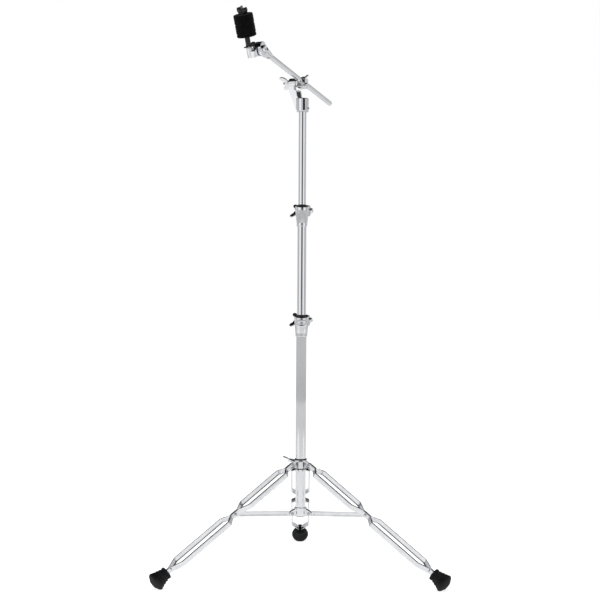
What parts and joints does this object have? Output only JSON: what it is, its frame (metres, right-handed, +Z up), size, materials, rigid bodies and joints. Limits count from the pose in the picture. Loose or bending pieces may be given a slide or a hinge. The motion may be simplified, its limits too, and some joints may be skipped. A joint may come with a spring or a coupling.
{
  "type": "cymbal boom stand",
  "caption": "Folding tripod stand with telescoping clamped mast, tilting boom arm and felted cymbal stem.",
  "frame": {"origin": "on the floor, under the middle of the bounding box", "axes": "+Z up along the mast; +Y towards the rear leg; the mast's axis is at x = 0, y = -0.0605"},
  "size_m": [0.7052, 0.6841, 1.3435],
  "materials": {
    "chrome": "bright polished chrome plating",
    "zinc_steel": "plated steel, satin",
    "black_nylon": "moulded black nylon",
    "black_rubber": "moulded black rubber",
    "black_felt": "dense pressed wool felt"
  },
  "bodies": {
    "stand_base": {"base_tube": "chrome", "base_tube_plug": "black_nylon", "hub_bracket": "chrome", "left_hub_pin": "zinc_steel", "right_hub_pin": "zinc_steel", "rear_hub_pin": "zinc_steel", "lower_clamp": "chrome", "lower_clamp_bushing": "black_nylon", "lower_clamp_bolt": "zinc_steel"},
    "collar": {"leg_collar": "chrome", "collar_bushing": "black_nylon", "left_leg_top_pin": "zinc_steel", "right_leg_top_pin": "zinc_steel", "rear_leg_top_pin": "zinc_steel"},
    "collar_wing": {"collar_wing_bolt": "chrome"},
    "lower_wing": {"lower_clamp_wing_nut": "chrome"},
    "mid_mast": {"mid_tube": "chrome", "upper_clamp": "chrome", "upper_clamp_bushing": "black_nylon", "upper_clamp_bolt": "zinc_steel"},
    "upper_wing": {"upper_clamp_wing_nut": "chrome"},
    "top_mast": {"top_tube": "chrome"},
    "boom_head": {"boom_base": "chrome", "boom_base_set_screw": "zinc_steel"},
    "boom_pivot": {"boom_clamp": "chrome", "tilt_bolt": "zinc_steel"},
    "tilt_wing": {"tilt_wing_nut": "chrome"},
    "rod_wing": {"boom_wing_bolt": "chrome"},
    "boom": {"boom_rod": "chrome", "tilter_socket": "chrome", "tilter_set_screw": "zinc_steel", "tilter_bolt": "zinc_steel"},
    "tilter_wing": {"tilter_wing_nut": "chrome"},
    "stem": {"tilter_yoke": "chrome", "cymbal_stem": "zinc_steel", "cup_washer": "chrome", "cymbal_sleeve": "black_nylon", "bottom_felt": "black_felt", "middle_felt": "black_felt", "top_felt": "black_felt"},
    "stem_nut": {"top_nut": "black_nylon"},
    "left_stay_bar": {"left_stay": "chrome"},
    "left_leg": {"left_leg_outer_strap": "chrome", "left_leg_inner_strap": "chrome", "left_waist_pin": "zinc_steel", "left_foot": "black_rubber"},
    "right_stay_bar": {"right_stay": "chrome"},
    "right_leg": {"right_leg_outer_strap": "chrome", "right_leg_inner_strap": "chrome", "right_waist_pin": "zinc_steel", "right_foot": "black_rubber"},
    "rear_stay_bar": {"rear_stay": "chrome"},
    "rear_leg": {"rear_leg_outer_strap": "chrome", "rear_leg_inner_strap": "chrome", "rear_waist_pin": "zinc_steel", "rear_foot": "black_rubber"}
  },
  "joints": [
    {"name": "collar_slide", "type": "slide", "parent": "stand_base", "child": "collar", "axis": [0, 0, 1], "range_m": [0, 0.22869]},
    {"name": "left_stay_hinge", "type": "hinge", "parent": "stand_base", "child": "left_stay_bar", "pos_m": [-0.02182, -0.0731, 0.1465], "axis": [-0.5, 0.866, 0], "range_deg": [0, 81.77]},
    {"name": "left_leg_hinge", "type": "hinge", "parent": "left_stay_bar", "child": "left_leg", "pos_m": [-0.15789, -0.15166, 0.15814], "axis": [-0.5, 0.866, 0], "range_deg": [-133.88, 0]},
    {"name": "right_stay_hinge", "type": "hinge", "parent": "stand_base", "child": "right_stay_bar", "pos_m": [0.02182, -0.0731, 0.1465], "axis": [-0.5, -0.866, 0], "range_deg": [0, 81.77]},
    {"name": "right_leg_hinge", "type": "hinge", "parent": "right_stay_bar", "child": "right_leg", "pos_m": [0.15789, -0.15166, 0.15814], "axis": [-0.5, -0.866, 0], "range_deg": [-133.88, 0]},
    {"name": "rear_stay_hinge", "type": "hinge", "parent": "stand_base", "child": "rear_stay_bar", "pos_m": [0, -0.0353, 0.1465], "axis": [1, 0, 0], "range_deg": [0, 81.77]},
    {"name": "rear_leg_hinge", "type": "hinge", "parent": "rear_stay_bar", "child": "rear_leg", "pos_m": [0, 0.12182, 0.15814], "axis": [1, 0, 0], "range_deg": [-133.88, 0]},
    {"name": "collar_wing_turn", "type": "hinge", "parent": "collar", "child": "collar_wing", "pos_m": [0, -0.0605, 0.2688], "axis": [-0.8471, 0.4891, 0.2079], "continuous": true},
    {"name": "lower_wing_turn", "type": "hinge", "parent": "stand_base", "child": "lower_wing", "pos_m": [0.00869, -0.03899, 0.626], "axis": [-0.9272, 0.3746, 0], "continuous": true},
    {"name": "mid_tube_slide", "type": "slide", "parent": "stand_base", "child": "mid_mast", "axis": [0, 0, 1], "range_m": [-0.21, 0.12]},
    {"name": "upper_wing_turn", "type": "hinge", "parent": "mid_mast", "child": "upper_wing", "pos_m": [0.00869, -0.03899, 0.9], "axis": [-0.9272, 0.3746, 0], "continuous": true},
    {"name": "top_tube_slide", "type": "slide", "parent": "mid_mast", "child": "top_mast", "axis": [0, 0, 1], "range_m": [-0.22, 0.11]},
    {"name": "boom_swivel", "type": "hinge", "parent": "top_mast", "child": "boom_head", "pos_m": [0, -0.0605, 1.2184], "axis": [0, 0, 1], "continuous": true},
    {"name": "boom_tilt", "type": "hinge", "parent": "boom_head", "child": "boom_pivot", "pos_m": [0, -0.0605, 1.2184], "axis": [0.9063, -0.4226, 0], "range_deg": [-47.5, 66]},
    {"name": "tilt_wing_turn", "type": "hinge", "parent": "boom_pivot", "child": "tilt_wing", "pos_m": [0, -0.0605, 1.2184], "axis": [-0.9063, 0.4226, 0], "continuous": true},
    {"name": "rod_wing_turn", "type": "hinge", "parent": "boom_pivot", "child": "rod_wing", "pos_m": [0.0016, -0.05471, 1.21742], "axis": [-0.0578, 0.2054, 0.977], "continuous": true},
    {"name": "boom_rod_slide", "type": "slide", "parent": "boom_pivot", "child": "boom", "axis": [-0.4169, -0.8941, 0.1633], "range_m": [-0.14, 0.145]},
    {"name": "tilter_wing_turn", "type": "hinge", "parent": "boom", "child": "tilter_wing", "pos_m": [-0.0984, -0.27152, 1.25694], "axis": [-0.9063, 0.4226, 0], "continuous": true},
    {"name": "cymbal_tilt", "type": "hinge", "parent": "boom", "child": "stem", "pos_m": [-0.0984, -0.27152, 1.25694], "axis": [0.9063, -0.4226, 0], "range_deg": [-60, 60]},
    {"name": "top_nut_turn", "type": "hinge", "parent": "stem", "child": "stem_nut", "pos_m": [-0.13761, -0.322, 1.32563], "axis": [-0.1719, -0.3686, 0.9135], "continuous": true}
  ],
  "couplings": [
    {"joint": "left_stay_hinge", "follows": "collar_slide", "rad_per_m": 6.2401},
    {"joint": "left_leg_hinge", "follows": "collar_slide", "rad_per_m": -10.217},
    {"joint": "right_stay_hinge", "follows": "collar_slide", "rad_per_m": 6.2401},
    {"joint": "right_leg_hinge", "follows": "collar_slide", "rad_per_m": -10.217},
    {"joint": "rear_stay_hinge", "follows": "collar_slide", "rad_per_m": 6.2401},
    {"joint": "rear_leg_hinge", "follows": "collar_slide", "rad_per_m": -10.217}
  ]
}
